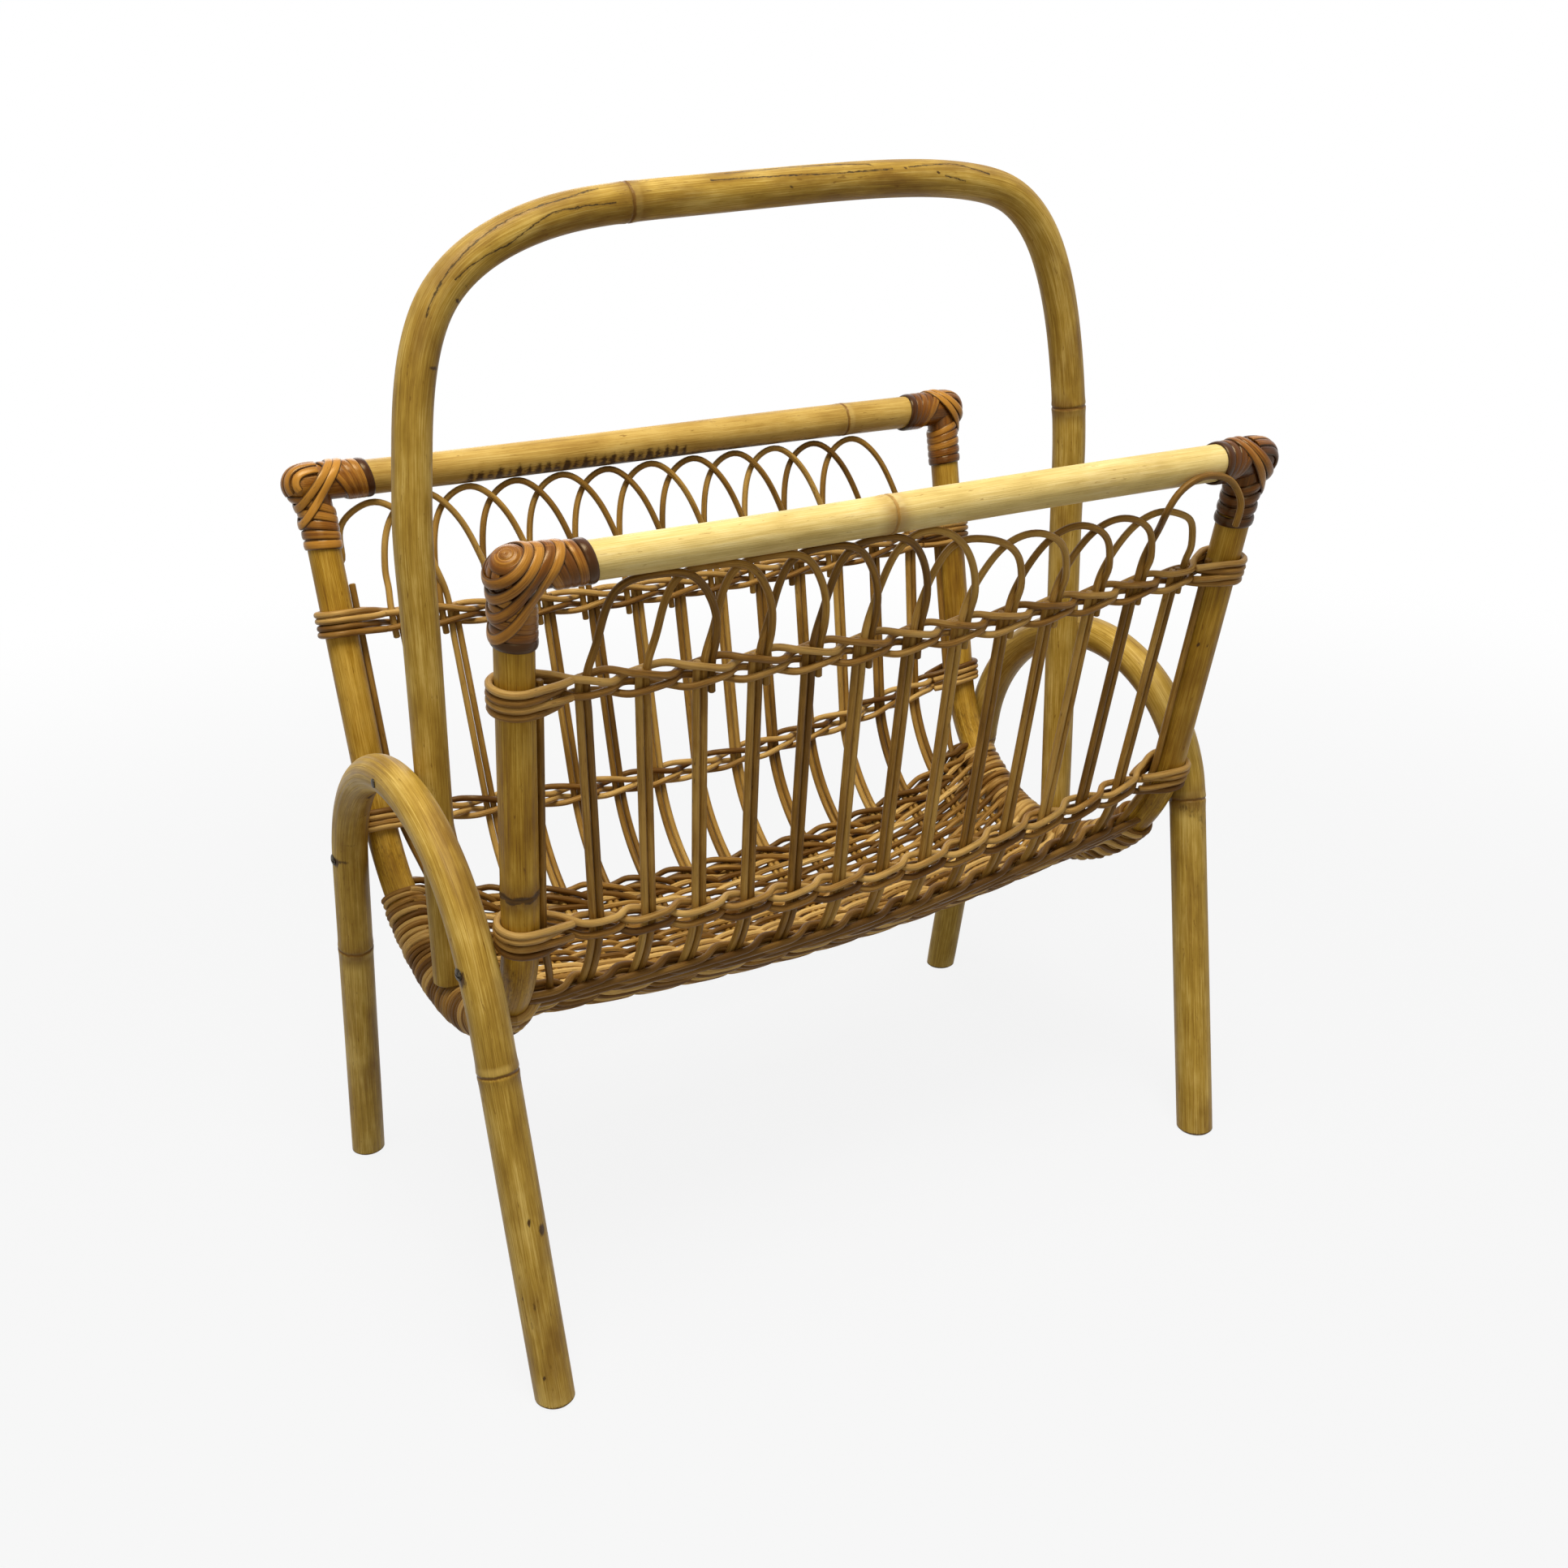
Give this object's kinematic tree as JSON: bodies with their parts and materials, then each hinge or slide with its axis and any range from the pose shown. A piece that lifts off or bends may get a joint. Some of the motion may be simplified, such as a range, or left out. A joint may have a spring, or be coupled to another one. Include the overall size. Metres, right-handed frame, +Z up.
{
  "type": "magazine basket",
  "caption": "Free-standing magazine basket of bent bamboo poles with a carrying handle, round reeds looped under the rails, twined rows of cane and a woven floor.",
  "frame": {"origin": "middle of the four feet, on the floor", "axes": "+X along the basket to the right, +Y to the back, +Z up; the front is the side that the picture sees"},
  "size_m": [0.4631, 0.2796, 0.5458],
  "materials": {
    "bamboo": "lacquered bent bamboo pole, golden tan with dark streaks",
    "pale_bamboo": "lacquered straight bamboo rail, straw coloured",
    "reed": "lacquered round reed, mid brown",
    "cane": "lacquered round cane, brown",
    "lashing_cane": "glossy flat cane, dark orange brown",
    "steel": "worn zinc plated steel"
  },
  "bodies": {
    "root": {"handle_arch": "bamboo", "woven_floor": "cane", "left_leg_arch": "bamboo", "left_basket_frame": "bamboo", "left_floor_winding": "cane", "left_end_reed": "reed", "left_handle_nail": "steel", "left_foot_pin": "steel", "right_leg_arch": "bamboo", "right_basket_frame": "bamboo", "right_floor_winding": "cane", "right_end_reed": "reed", "right_handle_nail": "steel", "right_foot_pin": "steel", "front_rail": "pale_bamboo", "front_upper_row": "cane", "front_lower_row": "cane", "reed_front_01": "reed", "reed_front_02": "reed", "reed_front_03": "reed", "reed_front_04": "reed", "reed_front_05": "reed", "reed_front_06": "reed", "reed_front_07": "reed", "reed_front_08": "reed", "reed_front_09": "reed", "reed_front_10": "reed", "reed_front_11": "reed", "reed_front_12": "reed", "reed_front_13": "reed", "front_left_binding": "lashing_cane", "front_left_screw": "steel", "front_left_rail_pin": "steel", "front_right_binding": "lashing_cane", "front_right_screw": "steel", "front_right_rail_pin": "steel", "back_rail": "pale_bamboo", "back_upper_row": "cane", "back_lower_row": "cane", "reed_back_01": "reed", "reed_back_02": "reed", "reed_back_03": "reed", "reed_back_04": "reed", "reed_back_05": "reed", "reed_back_06": "reed", "reed_back_07": "reed", "reed_back_08": "reed", "reed_back_09": "reed", "reed_back_10": "reed", "reed_back_11": "reed", "reed_back_12": "reed", "reed_back_13": "reed", "back_left_binding": "lashing_cane", "back_left_screw": "steel", "back_left_rail_pin": "steel", "back_right_binding": "lashing_cane", "back_right_screw": "steel", "back_right_rail_pin": "steel"}
  },
  "joints": []
}
